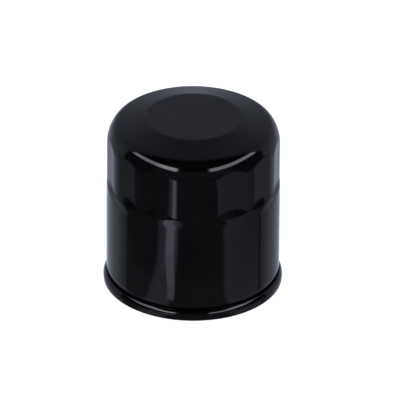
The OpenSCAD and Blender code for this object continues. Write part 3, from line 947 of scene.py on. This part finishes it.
def painted_table_light():
    """The table in front, with its light and shade painted on as a glow that shows only in the gloss: dark,
    with a painted beam of light at the left that starts by the filter, a dim painted glow to the left of it
    and another at the right. Places on it are given by distance from the axis in millimetres and by angle in
    degrees, which is 0 in front and grows to the right."""
    left, right, reach, start = math.radians(-93), math.radians(92), 260.0, 26.0
    turns = [left + (right - left) * i / 32 for i in range(33)]
    rim = [(reach * math.sin(a), -reach * math.cos(a), 0) for a in turns]
    made = mesh_object("painted_table_light", [(0, -start, 0)] + rim, [(0, i + 1, i + 2) for i in range(len(rim) - 1)])
    s = Surface("painted_table_light")
    times, plus, ramp, ranged = partial(s.math, "MULTIPLY"), partial(s.math, "ADD"), s.ramp, s.ranged
    r, _, turn = s.polar()
    angle = times(s.math("WRAP", plus(turn, math.pi / 2), math.pi, -math.pi), 180 / math.pi)
    far = ranged(r, 150, 175, 1.0, 0.0)
    base = ramp(r, (58, 0.085), (68, 0.058), (140, 0.058), (170, 0.036))

    # The beam and the right-hand glow both bow outwards half way along
    bow = times(ranged(r, 48, 86, 0.0, 1.0), ranged(r, 92, 124, 1.0, 0.8))
    off = s.math("ABSOLUTE", plus(plus(angle, 21.4), times(bow, 5.2)))
    half = ranged(r, 48, 84, 3.3, 4.8)
    # The beam is missing within about 47 mm of the axis: painted shadow of the filter on the table.
    along = times(far, ramp(r, (46.8, 0.0), (50, 0.75), (56, 0.74), (62, 0.98), (76, 1.0), (90, 1.2)))
    beam = times(along, ranged(off, plus(half, -1.2), plus(half, 1.2), 1.0, 0.0))

    edges = s.band(plus(angle, ranged(r, 50, 80, 3.0, 0.0)), -40, -18.5, 2.5)
    level = ramp(angle, (-39, 0.19), (-35, 0.26), (-30, 0.42))
    glow = times(times(far, edges), s.math("MINIMUM", level, ranged(r, 62, 82, 0.24, 0.42)))

    inner = plus(times(bow, -4.5), ranged(r, 132, 142, 0.0, 6.0))
    side = times(far, ramp(plus(angle, inner), (26, 0.0), (30.5, 0.2), (50, 0.14), (76, 0.06)))

    light = plus(s.math("MAXIMUM", beam, glow), plus(side, base))
    shader = s.add("ShaderNodeEmission", {"Color": WARM, "Strength": light})
    s.add("ShaderNodeOutputMaterial", {"Surface": shader})
    made.data.materials.append(s.material)
    made.visible_camera = made.visible_diffuse = made.visible_shadow = made.visible_transmission = False


def studio_light():
    """Two long softboxes high at the sides, darkness in front and a pale back wall, drawn on the world by
    direction, in degrees: azimuth 0 is in front and grows to the right, and height is above the horizon."""
    world = bpy.data.worlds.new("studio")
    bpy.context.scene.world = world
    world.use_nodes = True
    n = Nodes(world.node_tree)
    x, y, z = n.split(n.add("ShaderNodeTexCoord", output="Generated"))
    degrees = 180 / math.pi
    azimuth = n.math("MULTIPLY", n.math("ARCTAN2", x, n.math("MULTIPLY", y, -1.0)), degrees)
    height = n.math("MULTIPLY", n.math("ARCSINE", z), degrees)
    aside = n.math("ABSOLUTE", azimuth)
    times, plus, ramp, band = partial(n.math, "MULTIPLY"), partial(n.math, "ADD"), n.ramp, n.band

    # The back wall, and the table in front of it
    above = ramp(height, (0, 0.3), (14, 0.25), (32, 0.225), (46, 0.175), (58, 0.135), (72, 0.095), (88, 0.06))
    below = ramp(aside, (103, 0.19), (128, 0.34), (154, 0.46), (178, 1.0))
    wall = n.ranged(height, -12, 6, 0.0, 1.0)
    behind = n.ranged(aside, 97, 104, 0.0, 1.0)
    back = times(behind, plus(times(wall, above), times(n.math("SUBTRACT", 1.0, wall), below)))

    front = n.ranged(aside, 97, 104, 1.0, 0.0)
    ahead = times(front, times(ramp(height, (13, 0.085), (20, 0.006)), ramp(aside, (44, 1.0), (58, 0.3))))

    # The softboxes bow: their middles are lowest in front and behind
    y2 = times(y, y)
    share = n.math("DIVIDE", y2, plus(y2, times(x, x)))
    over = n.math("SUBTRACT", height, n.math("SUBTRACT", 31.5, times(share, 12.8)))
    left_box = times(band(azimuth, -96, -23, 3.0), ramp(azimuth, (-58, 2.8), (-38, 5.0)))
    right_box = times(band(azimuth, 20, 96, 3.0), 3.0)
    boxes = times(band(over, -6.5, 6.5, 1.5), plus(left_box, right_box))

    cool, warm, white = (n.add("ShaderNodeBackground", {"Color": colour, "Strength": strength})
                         for colour, strength in ((COOL, back), (WARM, ahead), (WHITE, boxes)))
    lit = n.add("ShaderNodeAddShader", {0: n.add("ShaderNodeAddShader", {0: cool, 1: warm}), 1: white})
    page = n.add("ShaderNodeBackground", {"Color": grey(1.0), "Strength": 1.0})
    seen = n.add("ShaderNodeLightPath", output="Is Camera Ray")
    both = n.add("ShaderNodeMixShader", {0: seen, 1: lit, 2: page})
    n.add("ShaderNodeOutputWorld", {"Surface": both})


camera()
floor()
painted_table_light()
studio_light()
view = bpy.context.scene.view_settings
view.view_transform = "Standard"
view.look = "None"
